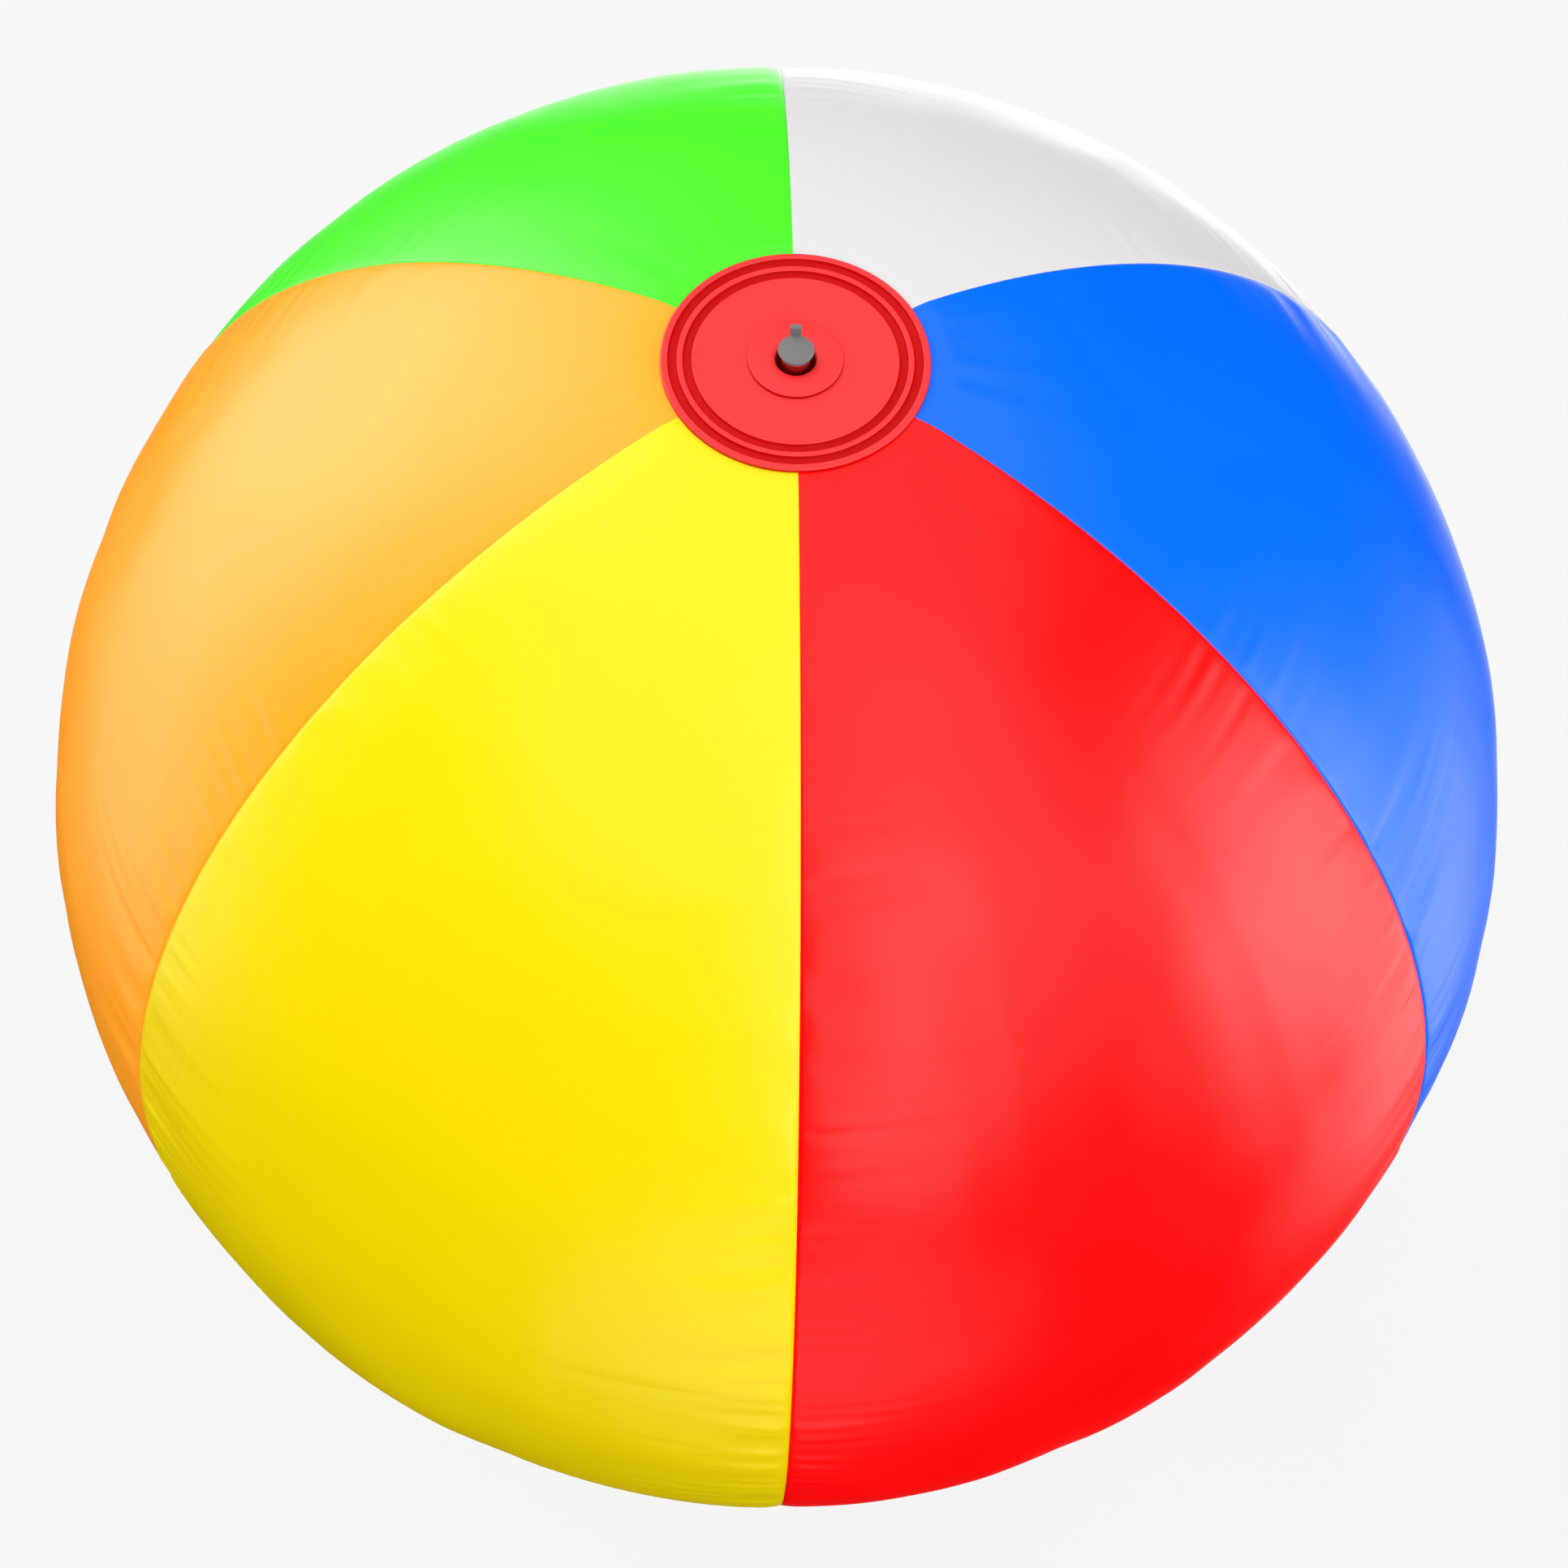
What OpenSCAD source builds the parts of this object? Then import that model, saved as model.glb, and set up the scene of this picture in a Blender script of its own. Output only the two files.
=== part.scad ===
// Inflatable beach ball: six film gores, two end caps and a pop-in valve with a tethered plug.
// The ball's axis is +Z. The origin is the middle of the bottom cap's outer face.

/* [Ball] */
// Diameter across the middle of the blown-up ball
ball_d = 390; // [280:5:520]
// Thickness of the film
film_t = 0.3; // [0.2:0.05:0.5]
// Depth of the welded fin along the inside of each seam
fin_h = 5; // [3:0.5:8]

/* [End caps] */
// Diameter of an end cap
cap_d = 66; // [52:1:90]
// Thickness of an end cap
cap_t = 1.1; // [0.6:0.1:1.4]
// Depth of the two weld grooves in an end cap
groove_h = 0.8; // [0.1:0.1:0.8]
// Flat film left showing around an end cap
ledge_w = 4.5; // [1:0.5:6]
// How far a gore's tip reaches in under its end cap
tip_lap = 9; // [6:0.5:12]

/* [Valve] */
// Diameter of the valve's flange
flange_d = 23.4; // [20:0.2:30]
// Thickness of the valve's flange
flange_t = 0.8; // [0.7:0.1:1]
// Diameter of the well around the stem
well_d = 10.1; // [9.8:0.1:12]
// Rounding of the well's lip
lip_r = 0.7; // [0.2:0.1:0.7]
// Thickness of the rolling membrane
membrane_t = 0.4; // [0.3:0.1:0.6]
// Depth of the well below the end cap's face
well_h = 9; // [8:0.5:12]
// Diameter of the stem
stem_d = 7.2; // [7:0.1:7.6]
// Diameter of the stem's bore
bore_d = 5.2; // [4.6:0.1:5.4]
// Height of the stem's mouth above the end cap's face
mouth_h = 3.3; // [3.3:0.1:4]

/* [Plug] */
// Diameter of the plug's head
head_d = 8.9; // [8.4:0.1:9.2]
// Thickness of the plug's head
head_t = 0.8; // [0.7:0.1:1.2]
// Length of the plug's tapered shank
shank_h = 3; // [2:0.25:3]
// How much narrower the shank's tip is than its root, on the radius
shank_taper = 0.5; // [0.5:0.05:1]
// Width of the strap
strap_w = 2.7; // [2:0.1:3]
// Thickness of the strap
strap_t = 0.6; // [0.4:0.1:0.7]
// Height of the strap's loop above the plug's head
strap_rise = 2.8; // [1.5:0.1:4]
// Gap inside the strap's loop
loop_gap = 0.2; // [0.2:0.1:0.6]

/* [Check flap] */
// Diameter of the check flap
flap_d = 6.4; // [6:0.1:6.8]
// Thickness of the check flap
flap_t = 0.5; // [0.4:0.1:0.6]

/* [Hidden] */
$fn = 96;
gap = 0.05;
gore_angle = 60;

ball_r = ball_d / 2;
cap_r = cap_d / 2;
flat_r = cap_r + ledge_w;
tip_r = cap_r - tip_lap;
flat_h = sqrt(ball_r * ball_r - flat_r * flat_r);
centre_z = flat_h + cap_t;
cap_z = 2 * centre_z;

well_r = well_d / 2;
stem_r = stem_d / 2;
bore_r = bore_d / 2;
stem_foot_z = cap_z - well_h;
mouth_z = cap_z + mouth_h;

// The bead at the mouth keeps the tether ring on the stem.
bead_t = 0.3;
bead_r = stem_r + 0.3;
ring_t = 0.5;
ring_r = bead_r;
ring_z = mouth_z - bead_t - gap - ring_t;

head_r = head_d / 2;
head_z = mouth_z + gap;
shank_r = bore_r - 2 * gap;
// The head's rim is this thick, and under it the head narrows by this much on the radius.
rim_t = 0.3;
head_draft = 0.5;
// The strap's loop stands beside the head, with this neck between them.
neck_l = 0.1;
front_leg_y = head_r + neck_l;
back_leg_y = front_leg_y + strap_t + loop_gap;
neck_z = head_z + head_t - strap_t;
lug_z = ring_z + (ring_t - strap_t) / 2;
loop_y = front_leg_y + strap_t + loop_gap / 2;
loop_z = head_z + head_t + strap_rise - strap_t - loop_gap / 2;

flap_r = flap_d / 2;
flap_z = stem_foot_z - gap - flap_t;
// The flap hinges on the straight edge that this distance from the axis cuts.
flap_hinge_y = 3;

// Half-plane section of a shell with outer radius r and thickness t, from the gores' tips outwards
// and cut flat at both ends.
module shell_section(r, t, half_h) {
    intersection() {
        difference() {
            circle(r = r, $fn = 180);
            circle(r = r - t, $fn = 180);
        }
        translate([tip_r, -half_h])
            square([r, 2 * half_h]);
    }
}

// Section of a gore: the round film, and the flat tab at each tip that the end cap is welded to.
module gore_section() {
    shell_section(ball_r, film_t, flat_h);
    for (side = [0, 1])
        mirror([0, side])
            translate([tip_r, flat_h - film_t])
                square([flat_r - tip_r, film_t]);
}

// The turned-in edge of a gore, standing in the seam's plane.
module seam_fin() {
    rotate([90, 0, 0])
        linear_extrude(film_t)
            shell_section(ball_r - film_t / 2, fin_h + film_t / 2, flat_h - film_t);
}

// One gore from pole to pole, with its middle at azimuth turn.
module gore(turn) {
    translate([0, 0, centre_z])
        rotate([0, 0, turn]) {
            rotate([0, 0, -gore_angle / 2])
                rotate_extrude(angle = gore_angle)
                    gore_section();
            for (side = [0, 1])
                mirror([0, side, 0])
                    rotate([0, 0, gore_angle / 2])
                        seam_fin();
        }
}

module red_gore() {
    color("#ff3739")
        gore(-60);
}

module blue_gore() {
    color("#1f7dff")
        gore(0);
}

module white_gore() {
    color("#f2f2f2")
        gore(60);
}

module green_gore() {
    color("#5cff33")
        gore(120);
}

module orange_gore() {
    color("#ffb850")
        gore(180);
}

module yellow_gore() {
    color("#fbe612")
        gore(240);
}

// An end cap with its outer face at z = 0, and a hole for the valve when hole_r is above 0.
module end_cap(hole_r) {
    rotate_extrude()
        difference() {
            translate([hole_r, -cap_t])
                square([cap_r - hole_r, cap_t]);
            for (inner = [0.764, 0.875])
                translate([inner * cap_r, -groove_h])
                    square([0.074 * cap_r, groove_h + 1]);
        }
}

module top_cap() {
    color("#ff484a")
        translate([0, 0, cap_z])
            end_cap(well_r + membrane_t + gap);
}

module bottom_cap() {
    color("#ff484a")
        mirror([0, 0, 1])
            end_cap(0);
}

// What the rounding takes off the square corner of the well's lip.
module lip_corner() {
    difference() {
        translate([well_r - lip_r, flange_t - lip_r])
            square([2 * lip_r, 2 * lip_r]);
        translate([well_r + lip_r, flange_t - lip_r])
            circle(r = lip_r);
    }
}

// The flange lies on the top cap, and its inner edge is rounded over into the well.
module valve_flange() {
    color("#ff484a")
        translate([0, 0, cap_z])
            rotate_extrude()
                difference() {
                    translate([well_r, 0])
                        square([flange_d / 2 - well_r, flange_t]);
                    lip_corner();
                }
}

// A cup with the stem through its floor. It rolls inside out as the stem is pushed or pulled.
module rolling_membrane() {
    color("#e02a2c")
        translate([0, 0, stem_foot_z])
            difference() {
                cylinder(r = well_r + membrane_t, h = well_h);
                translate([0, 0, membrane_t])
                    cylinder(r = well_r, h = well_h);
                translate([0, 0, -1])
                    cylinder(r = stem_r + gap, h = well_h);
            }
}

module stem_tube() {
    color("#e8393b")
        difference() {
            union() {
                translate([0, 0, stem_foot_z])
                    cylinder(r = stem_r, h = mouth_z - stem_foot_z);
                translate([0, 0, mouth_z - bead_t])
                    cylinder(r = bead_r, h = bead_t);
            }
            translate([0, 0, stem_foot_z - 1])
                cylinder(r = bore_r, h = mouth_z - stem_foot_z + 2);
        }
}

module check_flap() {
    color("#e8393b")
        translate([0, 0, flap_z])
            intersection() {
                cylinder(r = flap_r, h = flap_t);
                translate([-flap_r, flap_hinge_y - 2 * flap_r, 0])
                    cube([2 * flap_r, 2 * flap_r, flap_t]);
            }
}

module tether_ring() {
    color("#898687")
        translate([0, 0, ring_z])
            difference() {
                cylinder(r = ring_r, h = ring_t);
                translate([0, 0, -1])
                    cylinder(r = stem_r + gap, h = ring_t + 2);
            }
}

// A length of the strap that stands upright, from height z_low to the loop's middle, with its
// front face at y.
module strap_leg(y, z_low) {
    translate([-strap_w / 2, y, z_low])
        cube([strap_w, strap_t, loop_z - z_low]);
}

// A loop: it leaves the plug's head by a flared neck, stands up, turns over and comes down to the
// lug of the tether ring.
module tether_strap() {
    color("#7d7b7c")
        difference() {
            union() {
                translate([-strap_w / 2, 0, lug_z])
                    cube([strap_w, back_leg_y + strap_t, strap_t]);
                strap_leg(back_leg_y, lug_z);
                strap_leg(front_leg_y, neck_z);
                translate([0, loop_y, loop_z])
                    rotate([90, 0, 90])
                        translate([0, 0, -strap_w / 2])
                            rotate_extrude(angle = 180)
                                translate([loop_gap / 2, 0])
                                    square([strap_t, strap_w]);
                translate([0, 0, neck_z])
                    linear_extrude(strap_t)
                        polygon([
                            [-strap_w, 0],
                            [-strap_w, head_r * 0.8],
                            [-strap_w / 2, front_leg_y + strap_t],
                            [strap_w / 2, front_leg_y + strap_t],
                            [strap_w, head_r * 0.8],
                            [strap_w, 0]
                        ]);
            }
            translate([0, 0, head_z - gap])
                cylinder(r = head_r + gap, h = head_t + 1);
            translate([0, 0, ring_z - 1])
                cylinder(r = ring_r + gap, h = ring_t + 1.5);
        }
}

module plug() {
    color("#898687") {
        translate([0, 0, head_z])
            cylinder(r1 = head_r - head_draft, r2 = head_r, h = head_t - rim_t);
        translate([0, 0, head_z + head_t - rim_t])
            cylinder(r = head_r, h = rim_t);
        translate([0, 0, head_z - shank_h])
            cylinder(r1 = shank_r - shank_taper, r2 = shank_r, h = shank_h);
    }
}

red_gore();
blue_gore();
white_gore();
green_gore();
orange_gore();
yellow_gore();
top_cap();
bottom_cap();
valve_flange();
rolling_membrane();
stem_tube();
check_flap();
tether_ring();
tether_strap();
plug();
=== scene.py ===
"""An inflatable beach ball: six welded film gores, two end caps and a valve with a tethered plug."""

import math

import bmesh
import bpy
import numpy as np
from mathutils import Matrix, Vector


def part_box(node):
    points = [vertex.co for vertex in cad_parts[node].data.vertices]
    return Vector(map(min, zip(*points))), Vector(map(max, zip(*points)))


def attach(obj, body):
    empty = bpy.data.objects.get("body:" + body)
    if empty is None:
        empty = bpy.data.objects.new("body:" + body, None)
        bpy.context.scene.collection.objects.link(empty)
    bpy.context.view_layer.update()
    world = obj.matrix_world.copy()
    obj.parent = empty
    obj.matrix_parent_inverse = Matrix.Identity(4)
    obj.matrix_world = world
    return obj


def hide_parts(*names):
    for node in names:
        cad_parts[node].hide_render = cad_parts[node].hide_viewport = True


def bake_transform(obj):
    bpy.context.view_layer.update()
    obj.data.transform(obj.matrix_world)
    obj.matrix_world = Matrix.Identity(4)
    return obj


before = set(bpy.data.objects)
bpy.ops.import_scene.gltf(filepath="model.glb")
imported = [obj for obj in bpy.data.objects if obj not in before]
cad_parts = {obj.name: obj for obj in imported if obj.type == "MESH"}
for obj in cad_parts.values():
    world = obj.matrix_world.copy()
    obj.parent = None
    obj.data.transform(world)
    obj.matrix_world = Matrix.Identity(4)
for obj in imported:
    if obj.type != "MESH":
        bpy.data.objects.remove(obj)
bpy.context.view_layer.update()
MM = 0.001
# The play between the stem and the pieces round it, and the refractive index of PVC
PLAY = 0.05 * MM
PVC_IOR = 1.53

# The gores
# Six gores of calendered PVC film, 0.3 mm thick, coloured right through. Their edges are turned in
# and welded face to face, so each seam is a sharp valley outside and a fin inside. The weld shrinks
# the film along the seam, and the slack stands beside it as short puckers.
BALL_R = -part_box("yellow_gore")[0][1]
CAP_FACE_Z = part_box("top_cap")[1][2]
CENTRE_Z = CAP_FACE_Z / 2
FLAT_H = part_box("top_cap")[0][2] - CENTRE_Z
TIP_R = 24 * MM
FILM_T = 0.3 * MM
FIN_H = 5 * MM
FIN_STEPS = (0.05, 0.2, 0.55, 1.0)
GORE_HALF = math.radians(30)
GORE_ROWS = 721
GORE_COLUMNS = 57
GORE_ROUGHNESS = 0.32
# The rounding where the film leaves the cap's flat edge for the ball's round
LEDGE_BLEND = 0.12 * MM
# Depths of the sharp valley at the weld and of the softer hollow around it, and their widths
VALLEY_H = 0.3 * MM
VALLEY_W = 1.8 * MM
HOLLOW_H = 0.4 * MM
HOLLOW_W = 15 * MM
# Heights of the wide and the narrow puckers beside a seam, and the spacing of each
WIDE_H, WIDE_PITCH = 0.5 * MM, 8.5 * MM
NARROW_H, NARROW_PITCH = 0.3 * MM, 3.2 * MM
# The spacing of each kind's clusters along the seam
WIDE_CLUSTER, NARROW_CLUSTER = 40 * MM, 24 * MM
# How far the puckers run out from the seam, how much that varies, and the spacing of the change
REACH, REACH_CHANGE, REACH_PITCH = 27 * MM, 12 * MM, 14 * MM
# How far the puckers lean from the square, as a slope, and the spacing of the change
LEAN, LEAN_PITCH = 0.18, 34 * MM
# The flat strip right beside the weld, where puckers have not begun
WELD_STRIP = 2.5 * MM
# Heights of the wide and the narrow dents in the film, and the spacing of each
DENT_H, DENT_PITCH = 0.55 * MM, 58 * MM
DIMPLE_H, DIMPLE_PITCH = 0.42 * MM, 24 * MM
# How far from a seam the weld's pull holds the dents down
DENT_FREE = 20 * MM
# The creases that fan out from an end cap: their height, the distance from the pole at which
# they start, and their reach from there
CREASE_H, CREASE_START, CREASE_REACH = 0.2 * MM, 34 * MM, 42 * MM
# Height and length of the packing folds
FOLD_H, FOLD_L = 0.14 * MM, 75 * MM
# Each gore's middle, in degrees round +Z from +X, its film's colour and its seams' numbers
GORES = {
    "red_gore": (-60, "#fe0405", 0),
    "blue_gore": (0, "#005de7", 1),
    "white_gore": (60, "#bfbdbe", 2),
    "green_gore": (120, "#43d624", 3),
    "orange_gore": (180, "#f39820", 4),
    "yellow_gore": (240, "#ddc400", 5),
}


def linear(code):
    """An sRGB hex colour as linear red, green, blue and alpha."""
    parts = [int(code[i : i + 2], 16) / 255 for i in (1, 3, 5)]
    return [c / 12.92 if c <= 0.04045 else ((c + 0.055) / 1.055) ** 2.4 for c in parts] + [1.0]


def add(tree, kind, inputs=(), **settings):
    """Adds a node with its settings, and links or sets each of its inputs by name or number."""
    node = tree.nodes.new(kind)
    for key, value in settings.items():
        setattr(node, key, value)
    for key, value in dict(inputs).items():
        if isinstance(value, bpy.types.NodeSocket):
            tree.links.new(value, node.inputs[key])
        else:
            node.inputs[key].default_value = value
    return node


def noise(seed, x, y, z=0.0):
    """Smooth random heights from -1 to 1.

    Random values sit on a unit lattice, and each cell blends its eight corners by
    6t^5 - 15t^4 + 10t^3 along each side.
    """
    size = 64
    lattice = np.random.default_rng(seed).uniform(-1, 1, (size, size, size))
    p = np.stack(np.broadcast_arrays(x, y, z)).astype(float)
    low = np.floor(p)
    t = p - low
    t = t * t * t * (t * (6 * t - 15) + 10)
    i = low.astype(int)
    total = 0.0
    for number in range(8):
        step = np.array([number & 1, number >> 1 & 1, number >> 2])
        weight = np.ones(p.shape[1:])
        for axis in range(3):
            weight = weight * (t[axis] if step[axis] else 1 - t[axis])
        index = [(i[axis] + step[axis]) % size for axis in range(3)]
        total = total + weight * lattice[index[0], index[1], index[2]]
    return total


def rise(x, low, high):
    """0 below low, 1 above high, and 3t^2 - 2t^3 between them."""
    t = np.clip((x - low) / (high - low), 0, 1)
    return t * t * (3 - 2 * t)


def grid_mesh(name, points, around=False):
    """A smooth-shaded mesh of a grid of points (rows, columns, 3).

    Each row's last point is joined to its first if around is true.
    """
    rows, columns = points.shape[:2]
    mesh = bpy.data.meshes.new(name)
    number = np.arange(rows * columns).reshape(rows, columns)
    if around:
        number = np.concatenate([number, number[:, :1]], axis=1)
    quads = np.stack(
        [number[:-1, :-1], number[1:, :-1], number[1:, 1:], number[:-1, 1:]], axis=-1
    ).reshape(-1, 4)
    mesh.vertices.add(rows * columns)
    mesh.vertices.foreach_set("co", points.astype(np.float32).ravel())
    mesh.loops.add(quads.size)
    mesh.loops.foreach_set("vertex_index", quads.astype(np.int32).ravel())
    mesh.polygons.add(len(quads))
    mesh.polygons.foreach_set("loop_start", np.arange(0, quads.size, 4, dtype=np.int32))
    mesh.polygons.foreach_set("use_smooth", np.ones(len(quads), bool))
    mesh.update(calc_edges=True)
    mesh.validate()
    piece = bpy.data.objects.new(name, mesh)
    bpy.context.scene.collection.objects.link(piece)
    return piece


def seam_puckers(seam, side, along, away):
    """Heights of the puckers beside a seam.

    Wide and narrow waves along the seam, each in its own clusters, that rise within a few
    millimetres of the weld and die away over 15 to 40 mm. They lean a little from the square.
    """
    s = along + LEAN * noise(seam + 40, along / LEAN_PITCH, side * 9.3) * away
    wide = noise(seam, s / WIDE_PITCH, side * (3 + away / (60 * MM)))
    wide_there = rise(noise(seam + 20, along / WIDE_CLUSTER, side * 2.5), -0.8, 0.4)
    narrow = noise(seam + 10, s / NARROW_PITCH, side * (3 + away / (40 * MM)))
    narrow_there = rise(noise(seam + 50, along / NARROW_CLUSTER, side * 7.5), -0.55, 0.3)
    reach = REACH + REACH_CHANGE * noise(seam + 30, s / REACH_PITCH, side * 5.1)
    height = WIDE_H * wide * wide_there * np.exp(-((away / reach) ** 1.6))
    height = height + NARROW_H * narrow * narrow_there * np.exp(-((away / (0.8 * reach)) ** 1.4))
    return height * (1 - np.exp(-((away / WELD_STRIP) ** 2)))


def gore_surface(middle, seams):
    """The outer face of one gore with its turned-in edges, as a grid of points.

    The row is the angle from the pole, and the column the angle round the axis. The distance from
    the centre is the smaller of the ball's radius and the flat under the end cap, less a sharp
    exponential valley and a wide Gaussian hollow at each seam, plus the puckers, wide shallow
    dents, creases that fan out from the end caps and faint lengthwise packing folds.
    """
    tip = math.atan(TIP_R / FLAT_H)
    polar = np.linspace(tip, math.pi - tip, GORE_ROWS)[:, None]
    t = np.linspace(-1, 1, GORE_COLUMNS)[None, :]
    across = 0.35 * t + 0.65 * np.sin(t * math.pi / 2)
    turn = middle + GORE_HALF * across
    flat = FLAT_H / np.maximum(np.abs(np.cos(polar)), 0.05)
    radius = -LEDGE_BLEND * np.logaddexp(-BALL_R / LEDGE_BLEND, -flat / LEDGE_BLEND)
    on_round = rise(flat - BALL_R, 0, 0.8 * MM)
    spread = np.sin(polar)
    along = BALL_R * polar
    away = BALL_R * spread * GORE_HALF * (1 - np.abs(across))

    x, y, z = spread * np.cos(turn), spread * np.sin(turn), np.cos(polar) + 0 * turn
    height = -VALLEY_H * np.exp(-away / VALLEY_W) * rise(spread, 0.12, 0.5)
    height = height - HOLLOW_H * np.exp(-((away / HOLLOW_W) ** 2)) * rise(spread, 0.2, 0.9)
    tight = 0.12 + 0.88 * rise(spread, 0.35, 0.92)
    left = seam_puckers(100 + seams[0], 1, along, away)
    right = seam_puckers(100 + seams[1], -1, along, away)
    height = height + tight * np.where(across < 0, left, right)

    size = BALL_R / DENT_PITCH
    fine = BALL_R / DIMPLE_PITCH
    dents = DENT_H * noise(7, x * size + 9, y * size + 9, z * size + 9)
    dents = dents + DIMPLE_H * noise(8, x * fine + 20, y * fine + 20, z * fine + 20)
    free = 1 - np.exp(-away / DENT_FREE)
    height = height + dents * free * rise(spread, 0.2, 0.6)

    from_cap = BALL_R * np.minimum(polar, math.pi - polar) - CREASE_START
    fan = noise(11, 10 * np.cos(turn) + 20, 10 * np.sin(turn) + 20, 2 * z)
    height = height + CREASE_H * fan * np.exp(-((from_cap / CREASE_REACH) ** 2)) * rise(away, 0, 9 * MM)

    fold = noise(13 + seams[0], across * 11, along / FOLD_L)
    middle_only = rise(1 - np.abs(across), 0.15, 0.6) * rise(spread, 0.45, 0.8)
    height = height + FOLD_H * fold * middle_only

    distance = radius + height * on_round
    points = np.stack([x * distance, y * distance, z * distance], axis=-1)
    fin_depth = FIN_H * rise(spread, 0.18, 0.3)
    fins = []
    for edge, steps in ((0, FIN_STEPS[::-1]), (-1, FIN_STEPS)):
        edge_distance = distance[:, edge, None]
        direction = points[:, edge] / edge_distance
        fins.append(np.stack([direction * (edge_distance - fin_depth * step) for step in steps], axis=1))
    points = np.concatenate([fins[0], points, fins[1]], axis=1)
    points[..., 2] += CENTRE_Z
    return points


# The gloss's clouds: their size and how far they move the roughness either way
CLOUD_PITCH, CLOUD_CHANGE = 38 * MM, 0.06
# The orange peel's spacing and height
PEEL_PITCH, PEEL_H = 2.2 * MM, 0.1 * MM


def vinyl(name, code, roughness, peel=0.05):
    """Calendered PVC: one full colour, and a satin gloss that blurs and clouds each highlight.

    The fine orange peel breaks up the highlights' edges.
    """
    material = bpy.data.materials.new(name)
    material.use_nodes = True
    tree = material.node_tree
    shader = tree.nodes["Principled BSDF"]
    place = add(tree, "ShaderNodeTexCoord").outputs["Object"]
    cloud = add(tree, "ShaderNodeTexNoise", {"Vector": place, "Scale": 1 / CLOUD_PITCH, "Detail": 1.0})
    gloss = add(
        tree,
        "ShaderNodeMapRange",
        {
            "Value": cloud.outputs["Fac"],
            "To Min": roughness - CLOUD_CHANGE,
            "To Max": roughness + CLOUD_CHANGE,
        },
        clamp=False,
    )
    tree.links.new(gloss.outputs["Result"], shader.inputs["Roughness"])
    grain = add(tree, "ShaderNodeTexNoise", {"Vector": place, "Scale": 1 / PEEL_PITCH, "Detail": 1.0})
    bump = add(
        tree, "ShaderNodeBump", {"Height": grain.outputs["Fac"], "Strength": peel, "Distance": PEEL_H}
    )
    tree.links.new(bump.outputs["Normal"], shader.inputs["Normal"])
    shader.inputs["Base Color"].default_value = linear(code)
    shader.inputs["IOR"].default_value = PVC_IOR
    return material


for name, (degrees, code, number) in GORES.items():
    points = gore_surface(math.radians(degrees), (number, (number + 1) % 6))
    gore = grid_mesh(name + "_film", points)
    film = gore.modifiers.new("film thickness", "SOLIDIFY")
    film.thickness = FILM_T
    film.offset = -1
    colour = name.split("_")[0]
    gore.data.materials.append(vinyl(colour + " PVC film", code, GORE_ROUGHNESS))
    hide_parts(name)
    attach(gore, "ball")

# The end caps
# A disc of the same film, twice as thick, laid over the gores' tips at each pole and welded down
# by a ring-shaped electrode that leaves two sunk rings. The top one has a hole for the valve.
CAP_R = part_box("top_cap")[1][0]
CAP_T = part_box("bottom_cap")[1][2]
CAP_HOLE_R = 5.5 * MM
# The sunk rings' inner and outer edges, as shares of the cap's radius, and their depth
CAP_RINGS = ((0.764, 0.838), (0.875, 0.949))
GROOVE_H = 0.8 * MM
GROOVE_EDGE = 0.35 * MM
RIM_EDGE = 0.45 * MM
CAP_COLOUR = "#d82b2d"
CAP_ROUGHNESS = 0.36
# The deeper red and weaker gloss given to the sunk rings and the cut edges are painted shade, where
# those lie in shadow
RING_SHADE_COLOUR = "#b00305"
RING_SHADE_ROUGHNESS = 0.5
RING_SHADE_GLINT = 0.2
TURNS = 192


def corner(x, z, radius, start, end, steps=6):
    """Points on a rounded corner's quarter circle, from start to end degrees about (x, z)."""
    angle = np.radians(np.linspace(start, end, steps))
    return np.stack([x + radius * np.cos(angle), z + radius * np.sin(angle)], axis=-1)


def turned(name, profile, turns=TURNS, closed=True):
    """A piece of revolution: each point (r, z) of the profile, carried round the Z axis.

    The point at angle a is (r cos a, r sin a, z). The profile runs so that outside is on its left.
    """
    if closed:
        profile = np.concatenate([profile, profile[:1]])
    angle = np.linspace(0, 2 * math.pi, turns, endpoint=False)[None, :]
    r, z = profile[:, 0, None], profile[:, 1, None]
    return grid_mesh(name, np.stack([r * np.cos(angle), r * np.sin(angle), z + 0 * angle], -1), True)


def cap_profile(hole_r):
    """The cap's section with its top face at height 0: a rounded rim and two sunk rings."""
    r = np.linspace(hole_r, CAP_R - RIM_EDGE, 300)
    top = 0 * r
    for inner, outer in CAP_RINGS:
        sunk = rise(r, inner * CAP_R, inner * CAP_R + GROOVE_EDGE)
        sunk = sunk * (1 - rise(r, outer * CAP_R - GROOVE_EDGE, outer * CAP_R))
        top = top - GROOVE_H * sunk
    face = np.stack([r, top], axis=-1)
    rim = corner(CAP_R - RIM_EDGE, -RIM_EDGE, RIM_EDGE, 90, 0)
    return np.concatenate([face, rim, [[CAP_R, -CAP_T], [hole_r, -CAP_T]]])


def close_up(piece):
    """Merges the doubled points at a seam or pole, drops empty faces and turns every face outwards."""
    work = bmesh.new()
    work.from_mesh(piece.data)
    bmesh.ops.remove_doubles(work, verts=work.verts, dist=1e-7)
    bmesh.ops.dissolve_degenerate(work, edges=work.edges, dist=1e-8)
    bmesh.ops.recalc_face_normals(work, faces=work.faces)
    work.to_mesh(piece.data)
    work.free()


def paint_shade(piece, film, where):
    """Gives film to the faces whose middle's distance from the axis and height satisfy where."""
    piece.data.materials.append(film)
    middles = np.empty(3 * len(piece.data.polygons))
    piece.data.polygons.foreach_get("center", middles)
    chosen = where(np.hypot(middles[0::3], middles[1::3]), middles[2::3])
    piece.data.polygons.foreach_set("material_index", chosen.astype(np.int32))


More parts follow.
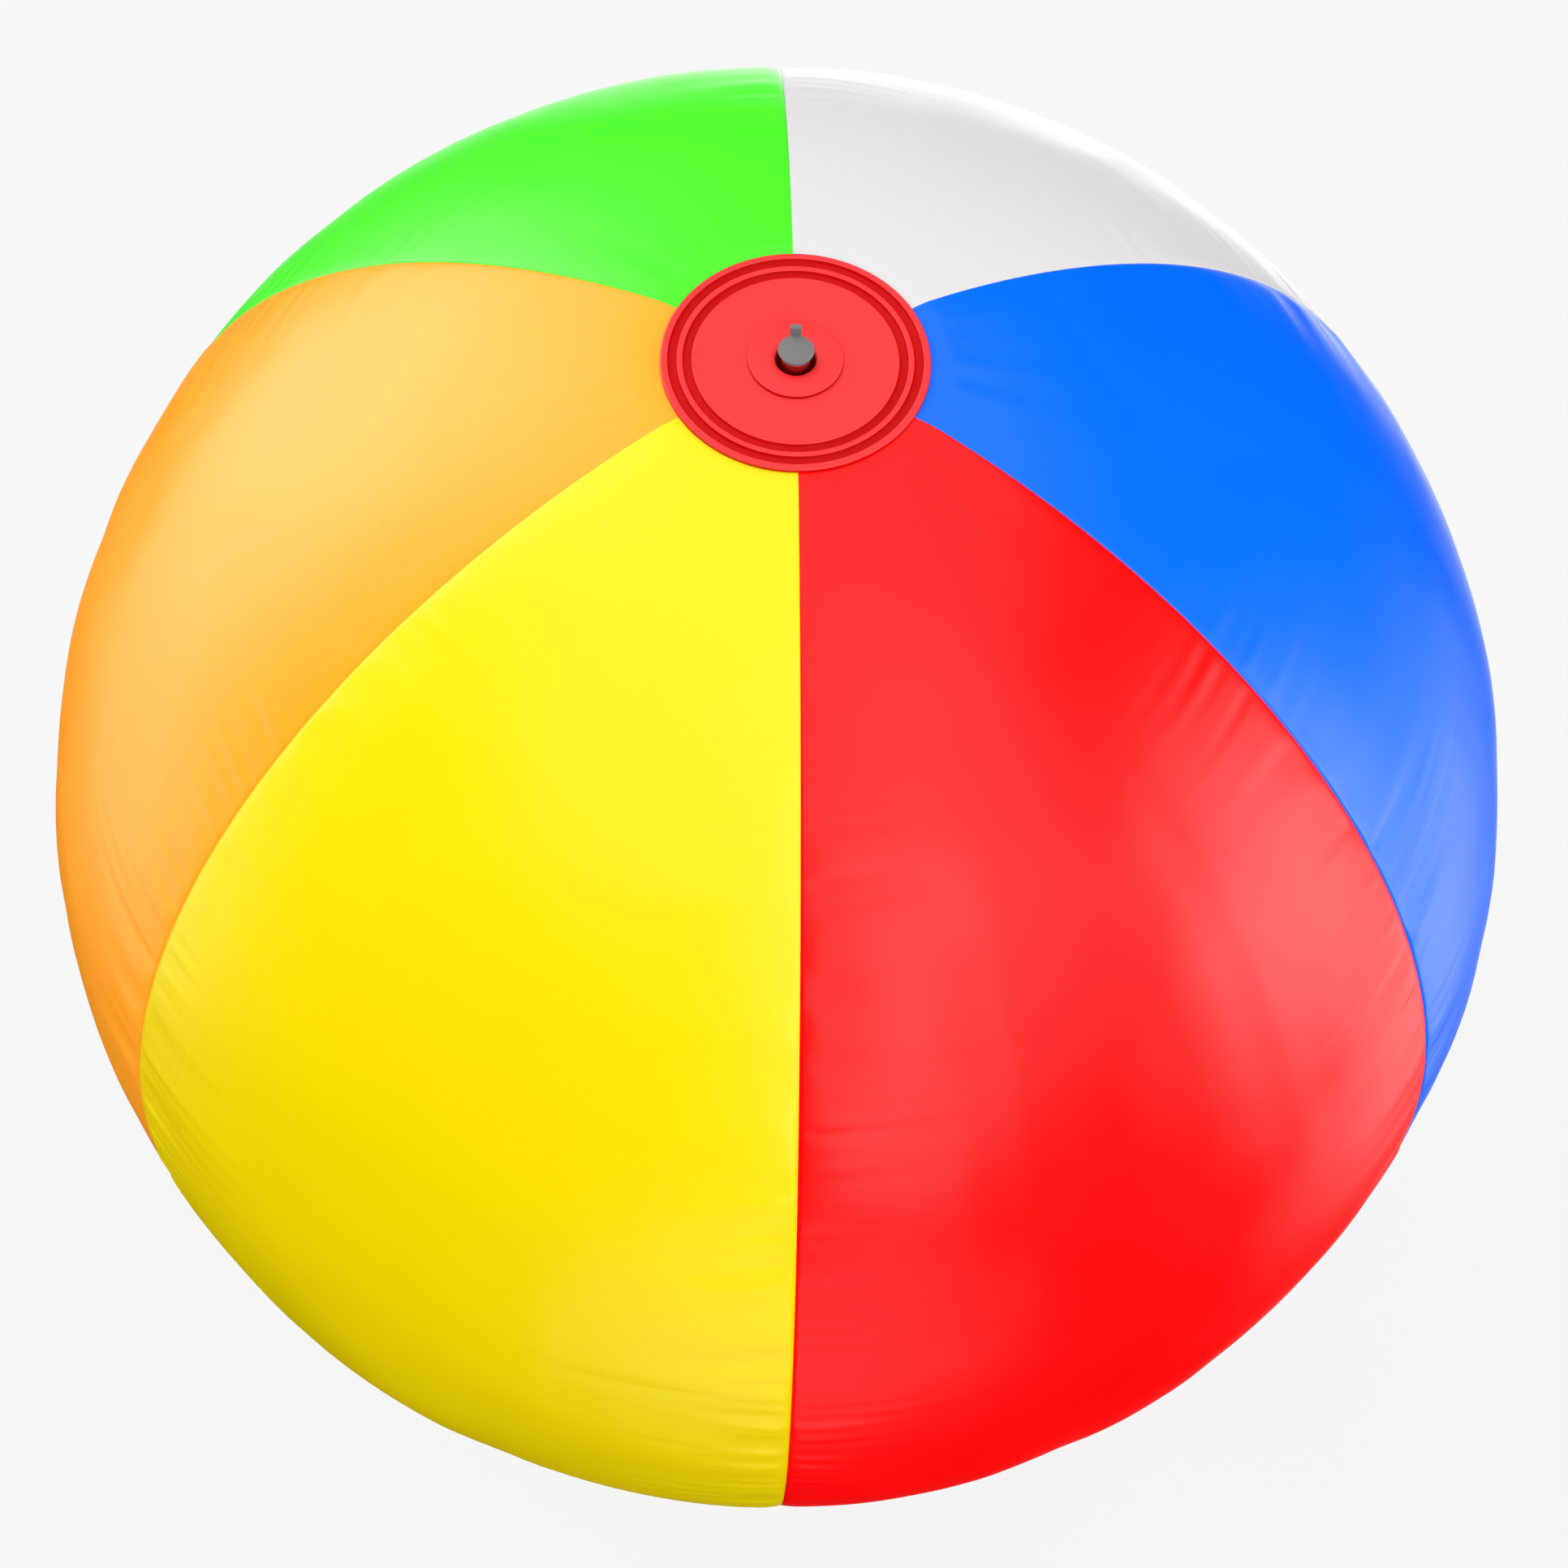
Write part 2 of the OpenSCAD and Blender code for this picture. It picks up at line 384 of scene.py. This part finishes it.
def ring_shade_mask(r, z):
    """True in the two sunk rings and on the cut edge of an end cap, where shade is painted."""
    depth = np.minimum(z, CAP_FACE_Z - z)
    ring = (depth > 0.12 * MM) & (depth < CAP_T - 0.1 * MM) & (r > 0.75 * CAP_R)
    return ring & ((r < 0.96 * CAP_R) | (depth > RIM_EDGE))


# The cap's film is a duller, softer red than the red gore
cap_film = vinyl("red PVC cap disc", CAP_COLOUR, CAP_ROUGHNESS)
# The sunk rings are pressed thinner. They and the cut edges get a deeper, duller red than the face:
# painted shade for the shadow in the rings and on the edges
painted_ring_shade = vinyl("red PVC painted ring shade", RING_SHADE_COLOUR, RING_SHADE_ROUGHNESS)
painted_ring_shade.node_tree.nodes["Principled BSDF"].inputs["Specular IOR Level"].default_value = RING_SHADE_GLINT
top_cap = turned("top_cap_disc", cap_profile(CAP_HOLE_R) + [0, CAP_FACE_Z])
bottom_cap = turned("bottom_cap_disc", cap_profile(0.0) * [1, -1])
for cap, node in ((top_cap, "top_cap"), (bottom_cap, "bottom_cap")):
    close_up(cap)
    cap.data.materials.append(cap_film)
    # Paints shade, as a deeper and less glossy red, into the sunk rings and on the cut edge
    paint_shade(cap, painted_ring_shade, ring_shade_mask)
    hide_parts(node)
    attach(cap, "ball")

# The valve's flange
# The valve is one moulding of soft PVC in the cap's red. Its flange is a thin disc welded on the
# cap, and the inner edge is rounded over where a finger pushes the stem in.
FLANGE_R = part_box("valve_flange")[1][0]
FLANGE_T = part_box("valve_flange")[1][2] - CAP_FACE_Z
WELL_R = 5.05 * MM
LIP_W = 2.2 * MM
LIP_H = 0.45 * MM
EDGE_R = 0.12 * MM

# The moulding's stronger peel breaks its highlights up more than the cap's
moulded = vinyl("red PVC moulding", CAP_COLOUR, CAP_ROUGHNESS, peel=0.1)
flange = turned(
    "valve_flange_disc",
    np.concatenate([
        corner(0, 0, 1, 180, 90, 16) * [LIP_W, LIP_H] + [WELL_R + LIP_W, FLANGE_T - LIP_H],
        corner(FLANGE_R - EDGE_R, FLANGE_T - EDGE_R, EDGE_R, 90, 0, 5),
        [[FLANGE_R, 0], [WELL_R, 0]],
    ]) + [0, CAP_FACE_Z],
)
close_up(flange)
flange.data.materials.append(moulded)
# Paints shade, as the same deeper and less glossy red, on the flange's cut edge
paint_shade(flange, painted_ring_shade, lambda r, z: r > FLANGE_R - 0.04 * MM)
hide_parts("valve_flange")
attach(flange, "ball")

# The rolling membrane
# A thin cup that joins the flange to the foot of the stem. It follows the ball at its lip and the stem
# at its floor.
STEM_FOOT_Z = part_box("stem_tube")[0][2]
STEM_R = 3.6 * MM
MEMBRANE_T = 0.4 * MM
ROLL_R = 0.65 * MM
# The wall's steps from lip to floor
WALL_STEPS = 24

roll_z = STEM_FOOT_Z + MEMBRANE_T + ROLL_R
roll = corner(WELL_R - ROLL_R, roll_z, ROLL_R, 0, -90, 10)
under = corner(WELL_R - ROLL_R, roll_z, ROLL_R + MEMBRANE_T, -90, 0, 10)
wall_r = np.full(WALL_STEPS, WELL_R)
inner_wall = np.stack([wall_r, np.linspace(CAP_FACE_Z, roll[0][1], WALL_STEPS + 1)[:-1]], -1)
outer_wall = np.stack(
    [wall_r + MEMBRANE_T, np.linspace(under[-1][1], CAP_FACE_Z, WALL_STEPS + 1)[1:]], -1
)
membrane = turned(
    "rolling_membrane_cup",
    np.concatenate([
        inner_wall,
        roll,
        [[STEM_R + PLAY, STEM_FOOT_Z + MEMBRANE_T], [STEM_R + PLAY, STEM_FOOT_Z]],
        under,
        outer_wall,
    ]),
    96,
)
close_up(membrane)
membrane.data.materials.append(moulded)
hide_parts("rolling_membrane")
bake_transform(membrane)

# The stem
# The tube that a mouth or a pump blows into, of the same moulding as the membrane and the flange.
# The bead round its mouth keeps the tether ring on.
STEM_TOP_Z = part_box("stem_tube")[1][2]
BORE_R = 2.6 * MM
BEAD_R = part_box("stem_tube")[1][0]
BEAD_T = 0.3 * MM
BEAD_EDGE = 0.12 * MM
MOUTH_EDGE = 0.15 * MM

stem = turned(
    "stem_tube_moulding",
    np.concatenate([
        [[BORE_R, STEM_FOOT_Z]],
        corner(BORE_R + MOUTH_EDGE, STEM_TOP_Z - MOUTH_EDGE, MOUTH_EDGE, 180, 90, 5),
        corner(BEAD_R - BEAD_EDGE, STEM_TOP_Z - BEAD_EDGE, BEAD_EDGE, 90, 0, 5),
        corner(BEAD_R - BEAD_EDGE, STEM_TOP_Z - BEAD_T + BEAD_EDGE, BEAD_EDGE, 0, -90, 5),
        [[STEM_R, STEM_TOP_Z - BEAD_T], [STEM_R, STEM_FOOT_Z]],
    ]),
    96,
)
close_up(stem)
stem.data.materials.append(moulded)
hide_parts("stem_tube")
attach(stem, "valve_stem")

# The check flap
# A thin disc of the same soft PVC under the stem's foot, joined to it along one straight edge.
# Air blown in pushes it open, and the pressure inside shuts it. It keeps its CAD shape.
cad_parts["check_flap"].data.materials.clear()
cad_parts["check_flap"].data.materials.append(moulded)

# The plug
# Moulded in one with its strap and ring, of a grey PVC stiffer and duller than the valve's. Its
# tapered shank wedges in the stem's bore, and the head is undercut for a fingernail.
HEAD_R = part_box("plug")[1][0]
HEAD_TOP_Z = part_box("plug")[1][2]
HEAD_T = 0.8 * MM
HEAD_EDGE = 0.08 * MM
HEAD_RIM = 0.3 * MM
HEAD_DRAFT = 0.5 * MM
SHANK_R = 2.5 * MM
SHANK_TIP_R = 2.0 * MM
SHANK_EDGE = 0.3 * MM
SHANK_FOOT_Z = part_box("plug")[0][2]
RING_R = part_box("tether_ring")[1][0]
RING_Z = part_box("tether_ring")[0][2]
RING_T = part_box("tether_ring")[1][2] - RING_Z
STRAP_T = 0.6 * MM
STRAP_W = 2.7 * MM
LOOP_R = 0.4 * MM
STRAP_FILLET = 0.35 * MM
# The path's first points, where the neck and its fillet are
NECK_POINTS = 36
# The neck starts at this share of the head's radius, and is this much wider there on each side
NECK_START = 0.78
NECK_FLARE = 1.3 * MM
# The exponent of the strap's section: 2 would be an ellipse, and 6 is a slab with soft edges
SQUARENESS = 6
PLUG_GREY = "#676566"
PLUG_ROUGHNESS = 0.62


def plug_vinyl():
    """Injection-moulded PVC: a dull grey, with the even grain of a spark-eroded mould.

    The grain moves the grey by a twentieth either way and gives the eye a matt, sandy surface.
    """
    material = bpy.data.materials.new("grey moulded PVC")
    material.use_nodes = True
    tree = material.node_tree
    shader = tree.nodes["Principled BSDF"]
    place = add(tree, "ShaderNodeTexCoord").outputs["Object"]
    grain = add(tree, "ShaderNodeTexNoise", {"Vector": place, "Scale": 1 / (0.25 * MM), "Detail": 3.0})
    ramp = add(
        tree,
        "ShaderNodeMapRange",
        {
            "Value": grain.outputs["Fac"],
            "From Min": 0.3,
            "From Max": 0.7,
            "To Min": 0.95,
            "To Max": 1.05,
        },
    )
    shade = ramp.outputs["Result"]
    tint = add(tree, "ShaderNodeHueSaturation", {"Color": linear(PLUG_GREY), "Value": shade})
    tree.links.new(tint.outputs["Color"], shader.inputs["Base Color"])
    bump = add(
        tree, "ShaderNodeBump", {"Height": grain.outputs["Fac"], "Strength": 0.2, "Distance": 0.05 * MM}
    )
    tree.links.new(bump.outputs["Normal"], shader.inputs["Normal"])
    shader.inputs["Roughness"].default_value = PLUG_ROUGHNESS
    shader.inputs["IOR"].default_value = PVC_IOR
    return material


grey = plug_vinyl()
head_low = HEAD_TOP_Z - HEAD_T
plug = turned(
    "plug_moulding",
    np.concatenate([
        [[0, SHANK_FOOT_Z]],
        corner(SHANK_TIP_R - SHANK_EDGE, SHANK_FOOT_Z + SHANK_EDGE, SHANK_EDGE, -90, -8, 6),
        [[SHANK_R, head_low], [HEAD_R - HEAD_DRAFT, head_low], [HEAD_R, HEAD_TOP_Z - HEAD_RIM]],
        corner(HEAD_R - HEAD_EDGE, HEAD_TOP_Z - HEAD_EDGE, HEAD_EDGE, 0, 90, 5),
        [[0, HEAD_TOP_Z]],
    ]),
    128,
    closed=False,
)
close_up(plug)
plug.data.materials.append(grey)
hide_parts("plug")
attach(plug, "plug")

# The tether ring
# The end of the plug's moulding, snapped over the stem's bead and held under it. It lies loose
# round the stem, with the same grey as the plug.
ring = turned(
    "tether_ring_moulding",
    np.concatenate([
        corner(RING_R - EDGE_R, RING_Z + EDGE_R, EDGE_R, -90, 0, 4),
        corner(RING_R - EDGE_R, RING_Z + RING_T - EDGE_R, EDGE_R, 0, 90, 4),
        [[STEM_R + PLAY, RING_Z + RING_T], [STEM_R + PLAY, RING_Z]],
    ]),
    96,
)
close_up(ring)
ring.data.materials.append(grey)
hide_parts("tether_ring")
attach(ring, "valve_stem")

# The tether strap
# The middle of the plug's moulding, from a flared neck on the head to a lug on the ring. It is longer
# than the gap between them, so it stands up as a loop.
NECK_DROP = 0.04 * MM
neck_z = HEAD_TOP_Z - STRAP_T / 2 - NECK_DROP
lug_z = RING_Z + RING_T / 2
back_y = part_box("tether_strap")[1][1] - STRAP_T / 2
front_y = back_y - 2 * LOOP_R
loop_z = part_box("tether_strap")[1][2] - STRAP_T / 2 - LOOP_R


def strap_surface():
    """The strap as a rounded flat section carried along a loop, as a grid of points.

    The path runs in y and z from the plug's head through a fillet up the front leg, over a half
    circle, down the back leg and through a fillet to the ring. The section is the superellipse
    |x / w|^6 + |h / t|^6 = 1 across the path, and it widens at the head into a flared neck.
    """
    start = HEAD_R * NECK_START
    low_f, high_f = lug_z + STRAP_FILLET, neck_z + STRAP_FILLET
    path = np.concatenate([
        np.stack([np.linspace(start, front_y - STRAP_FILLET, 24), np.full(24, neck_z)], -1),
        corner(front_y - STRAP_FILLET, high_f, STRAP_FILLET, -90, 0, 12)[1:],
        np.stack([np.full(10, front_y), np.linspace(high_f, loop_z, 11)[1:]], -1),
        corner(front_y + LOOP_R, loop_z, LOOP_R, 180, 0, 25)[1:],
        np.stack([np.full(14, back_y), np.linspace(loop_z, low_f, 15)[1:]], -1),
        corner(back_y - STRAP_FILLET, low_f, STRAP_FILLET, 0, -90, 12)[1:],
        np.stack([np.linspace(back_y - STRAP_FILLET, RING_R - 0.1 * MM, 9)[1:], np.full(8, lug_z)], -1),
    ])
    heading = np.gradient(path, axis=0)
    heading = heading / np.linalg.norm(heading, axis=1)[:, None]
    neck = np.arange(len(path)) < NECK_POINTS
    flare = np.where(neck, 1 - rise(path[:, 0], start, front_y - STRAP_T / 2), 0)
    half_w = STRAP_W / 2 + NECK_FLARE * flare**1.5
    angle = np.linspace(0, 2 * math.pi, 40, endpoint=False)
    across = np.sign(np.cos(angle)) * np.abs(np.cos(angle)) ** (2 / SQUARENESS)
    through = np.sign(np.sin(angle)) * np.abs(np.sin(angle)) ** (2 / SQUARENESS) * STRAP_T / 2
    return np.stack(
        [
            half_w[:, None] * across[None, :],
            path[:, 0, None] - heading[:, 1, None] * through[None, :],
            path[:, 1, None] + heading[:, 0, None] * through[None, :],
        ],
        axis=-1,
    )


strap_grid = strap_surface()
middles = strap_grid.mean(axis=1, keepdims=True) + 0 * strap_grid
strap_grid = np.concatenate([middles[:1], strap_grid, middles[-1:]])
strap = grid_mesh("tether_strap_loop", strap_grid, True)
close_up(strap)
strap.data.materials.append(grey)
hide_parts("tether_strap")
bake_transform(strap)

# The studio
# A pale sweep that glows evenly, as a light table does. The ball stands between two wide fills
# and a ring of soft-edged softboxes.
FLOOR_COLOUR = "#f7f7f7"
PAPER_GLOW = 0.935
PAPER_REFLECTANCE = 0.04
SWEEP = 6.0
floor_mesh = bpy.data.meshes.new("floor")
floor_mesh.from_pydata(
    [(-SWEEP, -SWEEP, 0), (SWEEP, -SWEEP, 0), (SWEEP, SWEEP, 0), (-SWEEP, SWEEP, 0)], [], [(0, 1, 2, 3)]
)
floor = bpy.data.objects.new("floor", floor_mesh)
bpy.context.scene.collection.objects.link(floor)
# The paper glows by itself and reflects next to nothing, so it stays one even pale tone
paper = bpy.data.materials.new("pale paper")
paper.use_nodes = True
paper_shader = paper.node_tree.nodes["Principled BSDF"]
paper_shader.inputs["Base Color"].default_value = (*[PAPER_REFLECTANCE] * 3, 1)
paper_shader.inputs["Roughness"].default_value = 1.0
paper_shader.inputs["Specular IOR Level"].default_value = 0.0
paper_shader.inputs["Emission Color"].default_value = linear(FLOOR_COLOUR)
paper_shader.inputs["Emission Strength"].default_value = PAPER_GLOW
floor.data.materials.append(paper)
floor.visible_glossy = False
floor.visible_diffuse = False
floor.visible_shadow = False

# Beyond the paper the camera sees the same pale tone. It lights nothing and isn't reflected, so
# it doesn't wash the film's colours out.
world = bpy.data.worlds.new("studio")
bpy.context.scene.world = world
world.use_nodes = True
world.node_tree.nodes["Background"].inputs["Color"].default_value = linear(FLOOR_COLOUR)
world.cycles_visibility.diffuse = False
world.cycles_visibility.glossy = False

# Two wide fills, the ceiling and the floor: the way each shines, and the light it gives. They
# are too even to be seen as highlights.
FILLS = {"ceiling fill": (0, 3.36), "floor fill": (math.pi, 2.26)}
for name, (tip, strength) in FILLS.items():
    light = bpy.data.lights.new(name, "SUN")
    light.angle = math.pi
    light.energy = strength
    light.cycles.use_multiple_importance_sampling = False
    lamp = bpy.data.objects.new(name, light)
    lamp.rotation_euler = (tip, 0, 0)
    lamp.visible_glossy = False
    bpy.context.scene.collection.objects.link(lamp)

# Softboxes: azimuth (0 is the ball's front, 90 its right) and elevation of the middle, half width
# and half height as seen from the ball, all in degrees, radiance in the middle, and the share of
# the half width in which it fades to nothing at its edge. The overhead and front ones have firm
# edges, and those at the sides and the back fade from their middle or close to it.
SOFTBOX_DISTANCE = 2.4
SOFTBOXES = {
    "overhead softbox": (-30, 85, 36, 55, 0.7, 0.25),
    "front strip": (16, 20, 15, 32, 1.7, 0.25),
    "low front softbox": (0, -33, 26, 26, 0.55, 0.33),
    "upper right softbox": (40, 41, 24, 44, 1.2, 1.0),
    "right softbox": (77, 2, 28, 35, 3.4, 0.9),
    "low right softbox": (100, -32, 28, 30, 1.7, 1.0),
    "left softbox": (-131, 21, 37, 47, 3.3, 1.0),
    "low left softbox": (-106, -14, 31, 33, 1.35, 1.0),
    "back softbox": (170, -45, 26, 34, 3.7, 1.0),
}
for name, (azimuth, elevation, half_wide, half_high, radiance, edge) in SOFTBOXES.items():
    a, e = math.radians(azimuth), math.radians(elevation)
    aim = Vector((math.sin(a) * math.cos(e), -math.cos(a) * math.cos(e), math.sin(e)))
    light = bpy.data.lights.new(name, "AREA")
    light.shape = "ELLIPSE"
    light.size = 2 * SOFTBOX_DISTANCE * math.tan(math.radians(half_wide))
    light.size_y = 2 * SOFTBOX_DISTANCE * math.tan(math.radians(half_high))
    light.energy = radiance * math.pi * math.pi / 4 * light.size * light.size_y
    light.use_nodes = True
    tree = light.node_tree
    spot = add(tree, "ShaderNodeNewGeometry").outputs["Parametric"]
    spot = add(tree, "ShaderNodeMapping", {"Vector": spot, "Location": (-1, -1, 0), "Scale": (2, 2, 0)})
    cone = add(tree, "ShaderNodeTexGradient", {"Vector": spot.outputs[0]}, gradient_type="SPHERICAL")
    fade = add(
        tree,
        "ShaderNodeMapRange",
        {"Value": cone.outputs["Fac"], "From Max": edge},
        interpolation_type="SMOOTHSTEP",
    )
    tree.links.new(fade.outputs["Result"], tree.nodes["Emission"].inputs["Strength"])
    lamp = bpy.data.objects.new(name, light)
    lamp.location = Vector((0, 0, CENTRE_Z)) + aim * SOFTBOX_DISTANCE
    lamp.rotation_euler = aim.to_track_quat("Z", "Y").to_euler()
    bpy.context.scene.collection.objects.link(lamp)

# The camera
# A long lens high above the front, a little to the left and tipped a little on its axis. The ball
# sits just left of the frame's middle and just below it.
VIEW_TILT = math.radians(32.71)
VIEW_TURN = math.radians(-3.07)
VIEW_ROLL = math.radians(2.51)
VIEW_DISTANCE = 7.658 * BALL_R
HALF_VIEW = math.radians(16.307 / 2)
# The ball's place, right and up from the frame's middle, as shares of the frame's width
BALL_OFFSET_X = -0.0045
BALL_OFFSET_Y = -0.002
SENSOR_WIDTH = 36

camera = bpy.data.cameras.new("camera")
camera.sensor_width = SENSOR_WIDTH
camera.lens = SENSOR_WIDTH / 2 / math.tan(HALF_VIEW)
camera.shift_x = -BALL_OFFSET_X
camera.shift_y = -BALL_OFFSET_Y
camera.clip_start = 0.05
camera.clip_end = 50
level = Vector((math.sin(VIEW_TURN), -math.cos(VIEW_TURN), 0))
back = math.sin(VIEW_TILT) * level + math.cos(VIEW_TILT) * Vector((0, 0, 1))
up = -math.cos(VIEW_TILT) * level + math.sin(VIEW_TILT) * Vector((0, 0, 1))
right = up.cross(back)
cosine, sine = math.cos(VIEW_ROLL), math.sin(VIEW_ROLL)
right, up = cosine * right + sine * up, cosine * up - sine * right
stand = bpy.data.objects.new("camera", camera)
turn = Matrix((right, up, back)).transposed().to_4x4()
stand.matrix_world = Matrix.Translation(Vector((0, 0, CENTRE_Z)) + back * VIEW_DISTANCE) @ turn
bpy.context.scene.collection.objects.link(stand)
bpy.context.scene.camera = stand
bpy.context.scene.view_settings.view_transform = "Standard"
